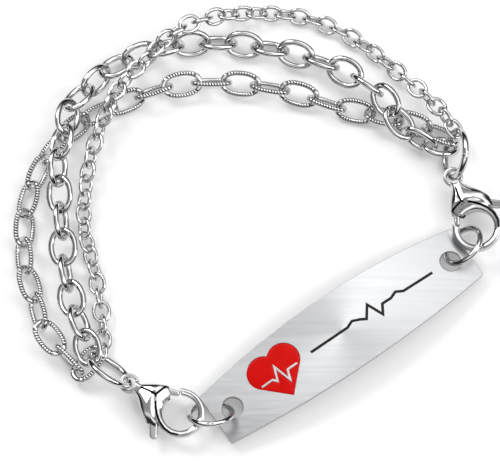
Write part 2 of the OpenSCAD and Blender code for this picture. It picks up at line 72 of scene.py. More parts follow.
# ---------------------------------------------------------------- camera
PX_PER_MM = 6.75                            # of the photograph
PHOTO_W, PHOTO_AIM = 500, (250, 231)        # its width and the pixel that is aimed at
ELEV = math.radians(73)
DIST = 0.55                                 # metres
WIDE = PHOTO_W * MM / PX_PER_MM
SENSOR = 36
aim = Vector((SHIFT[0] * MM, SHIFT[1] * MM, 0))
back = Vector((0, -math.cos(ELEV), math.sin(ELEV)))
cam_data = bpy.data.cameras.new("camera")
cam = bpy.data.objects.new("camera", cam_data)
scene.collection.objects.link(cam)
cam.location = aim + back * DIST
cam.rotation_mode = "QUATERNION"
cam.rotation_quaternion = (-back).to_track_quat("-Z", "Y")
cam_data.sensor_fit = "HORIZONTAL"
cam_data.sensor_width = SENSOR
cam_data.lens = SENSOR * DIST / WIDE
cam_data.clip_start, cam_data.clip_end = 0.01, 20
scene.camera = cam


def photo_pixel(p):
    """Where points in mm of the row frame stand in the photograph."""
    up = (p[:, 1] - SHIFT[1]) * math.sin(ELEV) + p[:, 2] * math.cos(ELEV)
    return PHOTO_AIM[0] + PX_PER_MM * (p[:, 0] - SHIFT[0]), PHOTO_AIM[1] - PX_PER_MM * up


# ---------------------------------------------------------------- materials
MIX_A, MIX_B, MIX_OUT = 6, 7, 2             # sockets of a Mix node for colours


def new_material(name):
    m = bpy.data.materials.new(name)
    m.use_nodes = True
    t = m.node_tree
    t.nodes.clear()
    out = t.nodes.new("ShaderNodeOutputMaterial")
    bsdf = t.nodes.new("ShaderNodeBsdfPrincipled")
    t.links.new(bsdf.outputs[0], out.inputs[0])
    return m, t, bsdf


def settings(bsdf, **values):
    for k, v in values.items():
        bsdf.inputs[k.replace("_", " ")].default_value = v


def node(t, kind, **values):
    n = t.nodes.new(kind)
    for k, v in values.items():
        if k in n.inputs:
            n.inputs[k].default_value = v
        else:
            setattr(n, k, v)
    return n


def object_coords(t, scale=(1, 1, 1), turn=0.0):
    c = node(t, "ShaderNodeTexCoord")
    m = node(t, "ShaderNodeMapping", Rotation=(0, 0, turn), Scale=scale)
    t.links.new(c.outputs["Object"], m.inputs["Vector"])
    return m.outputs["Vector"]


def noise(t, vector, **values):
    n = node(t, "ShaderNodeTexNoise", **values)
    t.links.new(vector, n.inputs["Vector"])
    return n.outputs[0]


def ramp(t, source, stops):
    """A colour ramp: stops are (place, gray) or (place, colour)."""
    r = node(t, "ShaderNodeValToRGB")
    t.links.new(source, r.inputs[0])
    while len(r.color_ramp.elements) < len(stops):
        r.color_ramp.elements.new(0.5)
    for e, (p, v) in zip(r.color_ramp.elements, stops):
        e.position = p
        e.color = v if isinstance(v, tuple) else (v, v, v, 1)
    return r.outputs[0]


def mix(t, factor, a, b, kind="MIX"):
    """A colour mix: factor, a and b are sockets or values."""
    n = node(t, "ShaderNodeMix", data_type="RGBA", blend_type=kind)
    for k, v in ((0, factor), (MIX_A, a), (MIX_B, b)):
        if isinstance(v, bpy.types.NodeSocket):
            t.links.new(v, n.inputs[k])
        else:
            n.inputs[k].default_value = v
    return n.outputs[MIX_OUT]


def relief(t, bsdf, height, strength, distance):
    """Fine relief that only bends the shading."""
    bump = node(t, "ShaderNodeBump", Strength=strength, Distance=distance)
    t.links.new(height, bump.inputs["Height"])
    t.links.new(bump.outputs[0], bsdf.inputs["Normal"])


def polished_steel(tone=0.58, rough=0.05):
    """Steel with painted shade: its vertices' crease attribute darkens it towards black."""
    m, t, b = new_material("polished_steel")
    settings(b, Metallic=1)
    co = object_coords(t)
    big = noise(t, co, Scale=160.0, Detail=3.0)
    fine = noise(t, co, Scale=2600.0, Detail=2.0)
    # painted shade: the crease attribute mixes the steel towards near black
    painted_shade = node(t, "ShaderNodeAttribute", attribute_name="crease")
    steel = ramp(t, big, [(0.3, (tone * 0.96, tone * 0.965, tone * 0.975, 1)),
                          (0.7, (tone, tone, tone * 1.005, 1))])
    colour = mix(t, painted_shade.outputs["Fac"], steel, (0.02, 0.02, 0.022, 1))
    t.links.new(colour, b.inputs["Base Color"])
    t.links.new(ramp(t, fine, [(0.35, rough), (0.75, rough * 1.7)]), b.inputs["Roughness"])
    relief(t, b, fine, 0.02, 0.00002)
    return m


def brushed_steel():
    """The plate's steel, brushed along its length."""
    m, t, b = new_material("brushed_plate")
    settings(b, Metallic=1, Anisotropic=0.55)
    lines = noise(t, object_coords(t, (90, 9000, 2000), -PLATE_DIR),
                  Scale=1.0, Detail=4.0, Roughness=0.7)
    broad = noise(t, object_coords(t, (45, 1600, 400), -PLATE_DIR), Scale=1.0, Detail=2.0)
    thin = ramp(t, lines, [(0.3, (0.40, 0.403, 0.41, 1)), (0.7, (0.50, 0.503, 0.51, 1))])
    wide = ramp(t, broad, [(0.3, (0.42, 0.423, 0.43, 1)), (0.7, (0.52, 0.523, 0.53, 1))])
    t.links.new(mix(t, 0.4, thin, wide), b.inputs["Base Color"])
    t.links.new(ramp(t, lines, [(0.25, 0.3), (0.75, 0.44)]), b.inputs["Roughness"])
    relief(t, b, lines, 0.25, 0.00001)
    return m


def red_enamel():
    m, t, b = new_material("red_enamel")
    settings(b, Roughness=0.22, Specular_IOR_Level=0.06, Coat_Weight=0.05, Coat_Roughness=0.05)
    n = noise(t, object_coords(t), Scale=700.0, Detail=3.0)
    red = ramp(t, n, [(0.3, (0.5, 0.003, 0.002, 1)), (0.7, (0.56, 0.005, 0.003, 1))])
    t.links.new(red, b.inputs["Base Color"])
    relief(t, b, n, 0.04, 0.00003)
    return m


def black_fill():
    m, t, b = new_material("black_fill")
    settings(b, Specular_IOR_Level=0.12)
    n = noise(t, object_coords(t), Scale=5000.0, Detail=3.0)
    t.links.new(ramp(t, n, [(0.3, 0.008), (0.7, 0.02)]), b.inputs["Base Color"])
    t.links.new(ramp(t, n, [(0.3, 0.35), (0.7, 0.5)]), b.inputs["Roughness"])
    relief(t, b, n, 0.2, 0.00002)
    return m


STEEL = polished_steel()
PLATE_MAT = brushed_steel()
RED = red_enamel()
BLACK = black_fill()
OTHER_MATERIALS = {"id_plate": PLATE_MAT, "enamel_emblem": RED, "engraving_fill": BLACK}
for name, o in nodes.items():
    o.data.materials.clear()
    o.data.materials.append(OTHER_MATERIALS.get(name, STEEL))


# ---------------------------------------------------------------- mesh helpers
def make(name, verts, faces, material, slot, replaces, body="root", normals=None, sharp=None,
         crease=None):
    """An object from vertices in mm of the row frame: crease is painted shade, 0 to 1 for each
    vertex.
    """
    me = bpy.data.meshes.new(name)
    me.from_pydata((np.asarray(verts) * MM).tolist(), [], [tuple(f) for f in faces])
    me.materials.append(material)
    me.polygons.foreach_set("use_smooth", [True] * len(me.polygons))
    me.update()
    if sharp is not None:
        me.set_sharp_from_angle(angle=math.radians(sharp))
    if normals is not None:
        me.normals_split_custom_set_from_vertices([tuple(n) for n in normals])
    if crease is not None:
        # the crease attribute holds painted shade, which the steel's material reads
        attribute = me.attributes.new("crease", "FLOAT", "POINT")
        attribute.data.foreach_set("value", np.asarray(crease, float))
    o = bpy.data.objects.new(name, me)
    scene.collection.objects.link(o)
    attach(o, body)
    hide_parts(*replaces)
    return o


def islands(o):
    """Loose solids of a CAD node: a list of point arrays in mm."""
    bm = bmesh.new()
    bm.from_mesh(o.data)
    bmesh.ops.remove_doubles(bm, verts=bm.verts, dist=2e-7)
    seen, found = set(), []
    for v in bm.verts:
        if v in seen:
            continue
        stack, part = [v], []
        seen.add(v)
        while stack:
            a = stack.pop()
            part.append(a.co[:])
            for e in a.link_edges:
                b = e.other_vert(a)
                if b not in seen:
                    seen.add(b)
                    stack.append(b)
        found.append(np.array(part) * 1000)
    bm.free()
    return found


def axes_of(p):
    """Centre and the axes of a point cloud, longest first, right-handed."""
    c = p.mean(0)
    _, v = np.linalg.eigh(np.cov((p - c).T))
    x, y = v[:, 2], v[:, 1]
    return c, x, y, np.cross(x, y)


def tube(stations, ring, closed=True):
    """Faces of a tube of rings of points, one ring at each station."""
    faces = []
    for i in range(stations if closed else stations - 1):
        a, b = i * ring, (i + 1) % stations * ring
        for j in range(ring):
            k = (j + 1) % ring
            faces.append((a + j, b + j, b + k, a + k))
    return faces


def smooth(a, b, v):
    """0 where v is at a, 1 at b, and eased between."""
    t = np.clip((v - a) / (b - a), 0, 1)
    return t * t * (3 - 2 * t)


def power(v, p):
    return np.sign(v) * np.abs(v) ** p


# ---------------------------------------------------------------- chains
RIDGED = 0.74               # share of a milled link's half length that bears ridges
RIDGE_STATIONS = 4          # stations for one ridge
END_STATIONS = 13           # stations round a milled link's end
FINE_TURN = 4000            # points that the directions along a link are taken from
TURN_START = 1e-4           # keeps those points off the oval's flat spots


def milled_angles(p, ridges):
    """Angles round an oval, evenly spaced along its ridged sides."""
    xs = np.linspace(-RIDGED, RIDGED, ridges * RIDGE_STATIONS + 1)
    top = np.arccos(np.abs(xs) ** (1 / p) * np.sign(xs))[::-1]
    left = np.linspace(top[-1], 2 * math.pi - top[-1], END_STATIONS)[1:-1]
    right = np.linspace(-top[0], top[0], END_STATIONS)[1:-1]
    return np.concatenate([right, top, left, 2 * math.pi - top[::-1]])


def link_mesh(l, w, wire, p, ring, seg=0, square=1.0, ridges=0, depth=0.0):
    """A closed oval link: x along it, y across, z square to both."""
    L, W = (l - wire) / 2, (w - wire) / 2

    def oval(a):
        return np.stack([L * power(np.cos(a), p), W * power(np.sin(a), p)], 1)
    a = milled_angles(p, ridges) if ridges else np.arange(seg) * 2 * math.pi / seg
    core = oval(a)
    dense = oval(np.linspace(0, 2 * math.pi, FINE_TURN, endpoint=False) + TURN_START)
    t = np.roll(dense, -6, 0) - np.roll(dense, 6, 0)
    t /= np.linalg.norm(t, axis=1)[:, None]
    share = ((a - TURN_START) % (2 * math.pi)) / (2 * math.pi)
    along = t[np.round(share * FINE_TURN).astype(int) % FINE_TURN]
    out = np.stack([along[:, 1], -along[:, 0]], 1)
    th = np.arange(ring) * 2 * math.pi / ring + math.pi / ring
    u, v = power(np.cos(th), square), power(np.sin(th), square)
    r = np.full((len(a), ring), wire / 2)
    shade = None
    if ridges:
        phase = (core[:, 0] + RIDGED * L) / (2 * RIDGED * L) * ridges
        on_side = (np.abs(core[:, 0]) < (RIDGED + 0.005) * L) & (np.abs(np.sin(a)) > 0.1)
        groove = np.where(on_side, smooth(0.6, 1.0, np.abs(np.cos(math.pi * phase))), 0)
        # the grooves fade out towards the inside of the link
        mask = np.clip((np.cos(th) + 0.95) / 0.5, 0, 1)
        r = r - depth * groove[:, None] * mask[None, :]
        # the grooves are cut into the wire for real, and their darkening is painted shade
        shade = (0.85 * smooth(0.2, 0.8, groove)[:, None] * mask[None, :]).reshape(-1)
    verts = np.zeros((len(a), ring, 3))
    verts[:, :, :2] = core[:, None, :] + (r * u[None, :])[:, :, None] * out[:, None, :]
    verts[:, :, 2] = r * v[None, :]
    return verts.reshape(-1, 3), tube(len(a), ring), shade


def dressed_chain(node_name, name, sharp=None, **shape):
    """Puts a finer link over each solid of a chain's node."""
    v, f, shade = link_mesh(**shape)
    f = np.array(f)
    V, F = [], []
    for k, p in enumerate(islands(nodes[node_name])):
        c, x, y, z = axes_of(p)
        V.append(c + v[:, :1] * x + v[:, 1:2] * y + v[:, 2:] * z)
        F.append(f + k * len(v))
    # the milled grooves' painted shade goes into the crease attribute
    return make(name, np.concatenate(V), np.concatenate(F).tolist(), STEEL,
                slot="polished_steel", replaces=(node_name,), sharp=sharp,
                crease=None if shade is None else np.tile(shade, len(V)))


dressed_chain("cable_chain", "cable_links", l=6.1, w=4.6, wire=0.9, p=0.95, seg=72, ring=18)
dressed_chain("fine_chain", "fine_links", l=3.6, w=2.9, wire=0.58, p=0.95, seg=48, ring=14)
dressed_chain("milled_chain", "milled_links", l=6.3, w=4.1, wire=0.8, p=0.85, ring=16,
              square=0.85, ridges=10, depth=0.12, sharp=38)


# ---------------------------------------------------------------- plate, enamel and engraving
RISE = BEND_R - math.sqrt(BEND_R ** 2 - (PLATE_L / 2) ** 2)
SAG = (PLATE_W - PLATE_END_W) / 2
SIDE_R = ((PLATE_L / 2) ** 2 + SAG ** 2) / (2 * SAG)
HEART_AT = np.array([HEART_X - PLATE_L / 2, -0.25])
HEART_LINE_AT = (HEART_X - PLATE_L / 2, -0.1)
PULSE_AT = (PULSE_X - PLATE_L / 2, 0)
GRID = 1.1                                  # spacing of the points within an area


def on_plate(q, w):
    """Plate coordinates q and height w above the underside, to the row frame."""
    q, w = np.asarray(q, float), np.broadcast_to(np.asarray(w, float), (len(q),))
    c, s = math.cos(PLATE_DIR), math.sin(PLATE_DIR)
    x = PLATE_MID[0] + q[:, 0] * c - q[:, 1] * s
    y = PLATE_MID[1] + q[:, 0] * s + q[:, 1] * c
    z = PLATE_Z + RISE - BEND_R + np.sqrt((BEND_R + w) ** 2 - q[:, 0] ** 2)
    return np.stack([x, y, z], 1)


def bent_normal(q, side, up):
    """Normal with a part in the plate's plane and a part square to it."""
    c, s = math.cos(PLATE_DIR), math.sin(PLATE_DIR)
    sx = q[:, 0] / BEND_R
    cx = np.sqrt(1 - sx ** 2)
    x, y, z = side[:, 0] * cx + up * sx, side[:, 1], up * cx - side[:, 0] * sx
    n = np.stack([x * c - y * s, x * s + y * c, z], 1)
    return n / np.linalg.norm(n, axis=1)[:, None]


def loop_normals(q):
    """Outward normals of a loop that runs anticlockwise."""
    t = np.roll(q, -1, 0) - np.roll(q, 1, 0)
    n = np.stack([t[:, 1], -t[:, 0]], 1)
    return n / np.linalg.norm(n, axis=1)[:, None]


def in_loop(p, loop):
    x, y = p[:, :1], p[:, 1:]
    x0, y0 = loop[:, 0], loop[:, 1]
    x1, y1 = np.roll(x0, -1), np.roll(y0, -1)
    with np.errstate(divide="ignore", invalid="ignore"):
        hit = ((y0 > y) != (y1 > y)) & (x < (x1 - x0) * (y - y0) / (y1 - y0) + x0)
    return hit.sum(1) % 2 == 1


def within(p, loops):
    """Which points lie in the first loop and outside the others."""
    k = in_loop(p, loops[0])
    for hole in loops[1:]:
        k &= ~in_loop(p, hole)
    return k


def triangulate(loops, step=GRID):
    """Vertices, triangles and the loops' indices of the first loop's area without the others."""
    pts = np.concatenate(loops)
    edges, at = [], 0
    for l in loops:
        edges += [(at + i, at + (i + 1) % len(l)) for i in range(len(l))]
        at += len(l)
    lo, hi = pts.min(0), pts.max(0)
    gx, gy = np.meshgrid(np.arange(lo[0] + step / 2, hi[0], step),
                         np.arange(lo[1] + step / 2, hi[1], step))
    g = np.stack([gx.ravel(), gy.ravel()], 1)
    g = g[within(g, loops)]
    far = np.ones(len(g), bool)
    batch = 500
    for a in range(0, len(g), batch):
        d = np.linalg.norm(g[a:a + batch, None] - pts[None], axis=2).min(1)
        far[a:a + batch] = d > step * 0.4
    points = [Vector(p) for p in np.concatenate([pts, g[far]]).tolist()]
    co, _, fs, orig, _, _ = delaunay_2d_cdt(points, edges, [], 0, 1e-6)
    co = np.array([v[:] for v in co])
    where = {}
    for i, src in enumerate(orig):
        for k in src:
            where[k] = i
    tri = np.array([f for f in fs if len(f) == 3])
    tri = tri[within(co[tri].mean(1), loops)]
    index, at = [], 0
    for l in loops:
        index.append(np.array([where[at + i] for i in range(len(l))]))
        at += len(l)
    return co, tri, index


class Shell:
    """Collects faces with a normal for each of their corners."""

    def __init__(self):
        self.v, self.f, self.n, self.count = [], [], [], 0

    def points(self, p):
        self.v.append(p)
        self.count += len(p)
        return np.arange(self.count - len(p), self.count)

    def faces(self, corners, normals):
        self.f += [tuple(int(k) for k in q) for q in corners]
        self.n.append(np.asarray(normals).reshape(-1, 3))

    def strip(self, a, b, na, nb):
        """Quads between two closed rows of points, a before b."""
        a2, b2 = np.roll(a, -1), np.roll(b, -1)
        q = np.stack([a, b, b2, a2], 1)
        self.faces(q, np.stack([na, nb, np.roll(nb, -1, 0), np.roll(na, -1, 0)], 1))

    def wall(self, loop, first, steps, sign):
        """Rows down a wall from the points first: steps are (offset, height, side, up), the
        last two being parts of the normal."""
        ln = loop_normals(loop)
        row, row_n = first, None
        for k, (offset, w, side, up) in enumerate(steps):
            q = loop + ln * offset
            n = bent_normal(q, ln * side * sign, np.full(len(q), up))
            if k:
                ids = self.points(on_plate(q, w))
                if sign > 0:
                    self.strip(row, ids, row_n, n)
                else:
                    self.strip(ids, row, n, row_n)
                row = ids
            row_n = n

    def area(self, co, tri, w, up=1.0, normals=None):
        """Triangles at height w above the underside that face up, or down where up is -1."""
        ids = self.points(on_plate(co, w))
        f = tri if up > 0 else tri[:, ::-1]
        q = co[tri]
        turn = np.cross(q[:, 1] - q[:, 0], q[:, 2] - q[:, 0])
        f = np.where((turn > 0)[:, None], f, f[:, ::-1])
        if normals is None:
            normals = bent_normal(co, np.zeros_like(co), np.full(len(co), up))
        self.faces(ids[f], normals[f])
        return ids

    def build(self, name, material, **kw):
        o = make(name, np.concatenate(self.v), self.f, material, **kw)
        o.data.normals_split_custom_set(np.concatenate(self.n).tolist())
        return o


def plate_outline(corner=0.3):
    """The plate's outline with slightly rounded corners, anticlockwise."""
    flat = corner * 0.9                     # the corners are a little wider than high
    xs = np.linspace(-PLATE_L / 2 + corner, PLATE_L / 2 - corner, 90)
    hw = np.sqrt(SIDE_R ** 2 - xs ** 2) + PLATE_W / 2 - SIDE_R
    ye = hw[-1] - flat
    turn = np.linspace(0, math.pi / 2, 7)[1:-1]
    right = np.stack([np.full(12, PLATE_L / 2), np.linspace(-ye, ye, 12)], 1)
    tr = np.stack([PLATE_L / 2 - corner + corner * np.cos(turn), ye + flat * np.sin(turn)], 1)
    top = np.stack([xs, hw], 1)[::-1]
    tl = np.stack([-tr[::-1, 0], tr[::-1, 1]], 1)
    bottom = np.stack([xs, -hw], 1)
    br = np.stack([tr[::-1, 0], -tr[::-1, 1]], 1)
    return np.concatenate([right, tr, top, tl, -right, -tr, bottom, br])


def circle(c, r, n=72):
    a = np.arange(n) * 2 * math.pi / n
    return np.array(c) + r * np.stack([np.cos(a), np.sin(a)], 1)


def heart_loop(grow, n=40):
    """Two arcs over a square corner, grown outward, anticlockwise from the point below."""
    lobe = HEART_W / (2 + math.sqrt(2))
    r, h = lobe + grow, lobe / math.sqrt(2)
    e = math.degrees(math.acos(h / r))
    a = np.radians(-45 + (225 - e) * np.arange(n + 1) / n)
    b = np.radians(e + (225 - e) * np.arange(1, n + 1) / n)
    q = np.concatenate([[[0, -2 * h - grow * math.sqrt(2)]],
                        np.array([h, h]) + r * np.stack([np.cos(a), np.sin(a)], 1),
                        np.array([-h, h]) + r * np.stack([np.cos(b), np.sin(b)], 1)])
    return q[:-1] + HEART_AT


def stroke(p, w):
    """The outline of a bent line of width w, anticlockwise."""
    d = np.diff(p, axis=0)
    d /= np.linalg.norm(d, axis=1)[:, None]
    side = np.stack([-d[:, 1], d[:, 0]], 1)
    a, b = np.vstack([side[:1], side]), np.vstack([side, side[-1:]])
    m = a + b
    m /= np.linalg.norm(m, axis=1)[:, None]
    out = m * (w / 2) / (m * b).sum(1)[:, None]
    return np.concatenate([p + out, (p - out)[::-1]])[::-1]


# both lines as shares of their length and height
HEART_PULSE = np.array([[-0.5, 0], [-0.2, 0], [-0.12, -0.2], [0.01, 0.5], [0.14, -0.5],
                        [0.23, 0], [0.5, 0]])
HEART_PULSE_L, HEART_PULSE_H = HEART_W * 0.74, HEART_W * 0.34
ENGRAVED = np.array([[-0.5, 0], [-0.2, 0], [-0.15, 0.18], [-0.1, 0], [-0.06, -0.2], [0, 0.5],
                     [0.05, -0.5], [0.09, 0.05], [0.16, 0.05], [0.21, 0.22], [0.26, 0],
                     [0.5, 0]])


def heart_line(w):
    q = HEART_PULSE * (HEART_PULSE_L - (HEART_LINE_W - w), HEART_PULSE_H)
    return stroke(q + HEART_LINE_AT, w)


def engraved_line(w):
    q = ENGRAVED * (PULSE_L - (PULSE_STROKE - w), PULSE_H)
    return stroke(q + PULSE_AT, w)


def edge_steps(edge, top):
    """Steps of a wall that is rounded by edge above and below."""
    turn = [(math.sin(a), math.cos(a)) for a in np.linspace(0, math.pi / 2, 5)]
    return ([(-edge + edge * s, top - edge + edge * c, s, c) for s, c in turn]
            + [(-edge + edge * c, edge - edge * s, c, -s) for s, c in turn])


def plate_mesh():
    s = Shell()
    edge, chamfer, lip, brow = 0.07, 0.1, 0.05, 0.04
    floor_w = PLATE_T - POCKET
    out = plate_outline()
    rim = out - loop_normals(out) * edge
    centres = [(k * HOLE_X, 0) for k in (-1, 1)]
    wide = [circle(c, HOLE_D / 2 + chamfer) for c in centres]
    heart, pulse = heart_loop(0.0), engraved_line(PULSE_STROKE)
    line = heart_line(HEART_LINE_W)
    co, tri, index = triangulate([rim] + wide + [heart_loop(lip), pulse])
    top = s.area(co, tri, PLATE_T)
    s.wall(out, top[index[0]], edge_steps(edge, PLATE_T), 1)
    # ring holes: sloped lips
    for k, c in enumerate(centres):
        steps = [(chamfer, PLATE_T, 0.35, 0.94),
                 (chamfer * 0.35, PLATE_T - chamfer * 0.3, 0.75, 0.66),
                 (0, PLATE_T - chamfer, 1, 0.1), (0, chamfer, 1, -0.1), (chamfer, 0, 0.5, -0.85)]
        s.wall(circle(c, HOLE_D / 2), top[index[1 + k]], steps, -1)
    # walls of the pockets
    s.wall(heart, top[index[3]], [(lip, PLATE_T, 0.5, 0.86), (0, PLATE_T - lip, 0.86, 0.5),
                                  (0, floor_w, 1, 0)], -1)
    s.wall(pulse, top[index[4]], [(0, PLATE_T, 1, 0), (0, floor_w, 1, 0)], -1)
    # the raised line in the heart
    co, tri, index = triangulate([line - loop_normals(line) * brow], 0.6)
    crown = s.area(co, tri, PLATE_T)
    s.wall(line, crown[index[0]], [(-brow, PLATE_T, 0.3, 0.95), (0, PLATE_T - brow, 0.9, 0.4),
                                   (0, floor_w, 1, 0)], 1)
    # floors of the pockets
    for loops in ([heart, line], [pulse]):
        co, tri, _ = triangulate(loops)
        s.area(co, tri, floor_w)
    # underside
    co, tri, _ = triangulate([rim] + wide)
    s.area(co, tri, 0.0, -1.0)
    return s.build("id_plate_brushed", PLATE_MAT, slot="brushed_plate", replaces=("id_plate",))


def enamel_mesh():
    """The enamel: a pillow that sinks towards its rims, with a hole for the raised line."""
    s = Shell()
    gap, sunk, swell, slope, h = 0.02, 0.1, 0.075, 0.55, 0.05
    base = PLATE_T - POCKET + gap
    loops = [heart_loop(-gap), heart_line(HEART_LINE_W + 2 * gap)]
    dense = np.concatenate([np.linspace(l, np.roll(l, -1, 0), 6, endpoint=False).reshape(-1, 2)
                            for l in loops])

    def lift(q):
        d = np.array([np.linalg.norm(p - dense, axis=1).min() for p in q])
        t = np.clip(d / slope, 0, 1) * within(q, loops)
        return swell * t * (2 - t)
    co, tri, index = triangulate(loops, 0.28)
    gx = (lift(co + (h, 0)) - lift(co - (h, 0))) / (2 * h)
    gy = (lift(co + (0, h)) - lift(co - (0, h))) / (2 * h)
    normals = bent_normal(co, -np.stack([gx, gy], 1), np.ones(len(co)))
    top = s.area(co, tri, PLATE_T - sunk + lift(co), 1.0, normals)
    for loop, ids, sign in zip(loops, (top[index[0]], top[index[1]]), (1, -1)):
        n = bent_normal(loop, loop_normals(loop) * sign, np.zeros(len(loop)))
        foot = s.points(on_plate(loop, base))
        if sign > 0:
            s.strip(ids, foot, n, n)
        else:
            s.strip(foot, ids, n, n)
    co, tri, _ = triangulate(loops)
    s.area(co, tri, base, -1.0)
    return s.build("enamel_heart", RED, slot="red_enamel", replaces=("enamel_emblem",))


plate_mesh()
enamel_mesh()


# ---------------------------------------------------------------- jump rings
def jump_ring(node_name, name, od, wire, seam_px, stations=120, ring=20):
    """A ring of round wire with its fine cut, which lies nearest to a pixel of the photograph."""
    c, x, y, z = axes_of(islands(nodes[node_name])[0])
    r = (od - wire) / 2
    half_cut, rounding = 0.035 / r, 0.93
    a = np.linspace(half_cut, 2 * math.pi - half_cut, stations)
    probe = np.linspace(0, 2 * math.pi, 360)
    across, down = photo_pixel(c + r * (np.cos(probe)[:, None] * x + np.sin(probe)[:, None] * y))
    a = a + probe[np.argmin((across - seam_px[0]) ** 2 + (down - seam_px[1]) ** 2)]
    e = np.cos(a)[:, None] * x + np.sin(a)[:, None] * y
    th = np.arange(ring) * 2 * math.pi / ring
    shrink = np.ones(stations)
    shrink[0] = shrink[-1] = rounding
    v = c + r * e[:, None, :] + (wire / 2 * shrink)[:, None, None] * (
        np.cos(th)[None, :, None] * e[:, None, :] + np.sin(th)[None, :, None] * z)
    f = tube(stations, ring, closed=False)
    f.append(tuple(range(ring)))
    f.append(tuple(range((stations - 1) * ring, stations * ring))[::-1])
    return make(name, v.reshape(-1, 3), f, STEEL, slot="polished_steel", replaces=(node_name,),
                sharp=50)


jump_ring("left_plate_ring", "left_plate_jump_ring", 7.1, 0.9, (212, 418.6))
jump_ring("right_plate_ring", "right_plate_jump_ring", 7.1, 0.9, (476, 238))
jump_ring("left_chain_ring", "left_chain_jump_ring", 8.0, 1.0, (115, 377))
jump_ring("right_chain_ring", "right_chain_jump_ring", 8.0, 1.0, (460, 154))


# ---------------------------------------------------------------- surfaces from fields
def surface(field, lo, hi, h):
    """Vertices, quads and normals of the surface where field(points) is 0."""
    n = [int(math.ceil((b - a) / h)) + 1 for a, b in zip(lo, hi)]
    axes = [lo[i] + h * np.arange(n[i]) for i in range(3)]
    g = np.stack(np.meshgrid(*axes, indexing="ij"), -1)
    f = field(g.reshape(-1, 3)).reshape(n)
    s = f < 0
    cells = tuple(k - 1 for k in n)
    acc = np.zeros(cells + (3,))
    cnt = np.zeros(cells, int)
    crossings = []
    # each cell's vertex is the mean of the crossings on its edges
    for a in range(3):
        b, c = (a + 1) % 3, (a + 2) % 3
        first = [slice(None)] * 3
        second = [slice(None)] * 3
        first[a], second[a] = slice(0, -1), slice(1, None)
        first, second = tuple(first), tuple(second)
        f0, f1 = f[first], f[second]
        cross = s[first] != s[second]
        with np.errstate(divide="ignore", invalid="ignore"):
            t = np.where(cross, f0 / (f0 - f1), 0)
        pos = g[first].copy()
        pos[..., a] += t * h
        for db in (0, 1):
            for dc in (0, 1):
                cut = [slice(None)] * 3
                cut[b] = slice(db, db + cells[b])
                cut[c] = slice(dc, dc + cells[c])
                cut = tuple(cut)
                acc += np.where(cross[cut][..., None], pos[cut], 0)
                cnt += cross[cut]
        crossings.append((a, b, c, cross, s[first]))
    live = cnt > 0
    index = np.full(cells, -1)
    index[live] = np.arange(live.sum())
    p = acc[live] / cnt[live][:, None]
    # each crossed edge joins the four cells around it
    quads = []
    for a, b, c, cross, inside in crossings:
        i = np.argwhere(cross)
        i = i[(i[:, b] > 0) & (i[:, b] < cells[b]) & (i[:, c] > 0) & (i[:, c] < cells[c])]
        flag = inside[tuple(i.T)]
        corner = []
        for db, dc in ((1, 1), (0, 1), (0, 0), (1, 0)):
            j = i.copy()
            j[:, b] -= db
            j[:, c] -= dc
            corner.append(index[tuple(j.T)])
        q = np.stack(corner, 1)
        quads.append(np.where(flag[:, None], q, q[:, ::-1]))
    q = np.concatenate(quads)

    def gradient(p, e=0.01):
        return np.stack([field(p + d) - field(p - d) for d in np.eye(3) * e], 1) / (2 * e)

    # vertices are drawn onto the surface, by half a cell at most each time
    for _ in range(3):
        gr = gradient(p)
        step = field(p)[:, None] * gr / np.maximum((gr ** 2).sum(1), 0.05)[:, None]
        size = np.linalg.norm(step, axis=1)[:, None]
        p = p - step * np.minimum(1, 0.5 * h / np.maximum(size, 1e-9))
    nrm = gradient(p, 0.02)
    nrm /= np.maximum(np.linalg.norm(nrm, axis=1)[:, None], 1e-9)
    return p, q, nrm


def smin(a, b, k):
    """The smaller of two distances, blended over k."""
    t = np.clip(0.5 + 0.5 * (b - a) / k, 0, 1)
    return b * (1 - t) + a * t - k * t * (1 - t)


def smax(a, b, k):
    return -smin(-a, -b, k)


def cone2(x, y, c1, r1, c2, r2):
    """2D distance to the outline around two circles."""
    d = np.array(c2) - c1
    L = math.hypot(*d)
    ux, uy = d / L
    px = (x - c1[0]) * ux + (y - c1[1]) * uy
    py = np.abs(-(x - c1[0]) * uy + (y - c1[1]) * ux)
    b = (r1 - r2) / L
    a = math.sqrt(max(1 - b * b, 0))
    side = px * a + py * b                  # place along the slanted side
    return np.where(side < 0, np.hypot(px, py) - r1,
                    np.where(side > a * L, np.hypot(px - L, py) - r2, px * b + py * a - r1))


def sector2(x, y, r, a0, a1):
    """2D distance, roughly, to a sector round the pivot."""
    px, py = x - PIVOT[0], y - PIVOT[1]
    d = np.hypot(px, py)
    mid, half = math.radians((a0 + a1) / 2), math.radians((a1 - a0) / 2)
    beyond = np.abs((np.arctan2(py, px) - mid + math.pi) % (2 * math.pi) - math.pi) - half
    quarter = math.pi / 2
    edge = np.where(beyond < quarter, np.sin(np.clip(beyond, -quarter, quarter)) * d, d)
    return np.maximum(d - r, edge)


def turned_back(x, y, deg):
    """Undo the lever's swing about its pivot."""
    a = math.radians(deg)
    px, py = x - PIVOT[0], y - PIVOT[1]
    return (PIVOT[0] + px * math.cos(a) - py * math.sin(a),
            PIVOT[1] + px * math.sin(a) + py * math.cos(a))


def to_path(x, y, path):
    """Distance to a bent line."""
    best = np.full(x.shape, 99.0)
    for (ax, ay), (bx, by) in zip(path, path[1:]):
        dx, dy = bx - ax, by - ay
        t = np.clip(((x - ax) * dx + (y - ay) * dy) / (dx * dx + dy * dy), 0, 1)
        best = np.minimum(best, np.hypot(x - ax - t * dx, y - ay - t * dy))
    return best


# ---------------------------------------------------------------- clasps
NECK, NECK_R = (1.25, 0.0), 0.8             # the two circles of the body's outline
BELLY, BELLY_R = (REACH - 3.3, -0.45), 2.8
GATE_STEP, GATE_STEP_NORMAL = (6.57, 0.76), (0.82, 0.573)       # where the body ends at the gate
EYE_HOLE_R, EYE_R, EYE_ROUND = 0.95, 1.21, 0.215
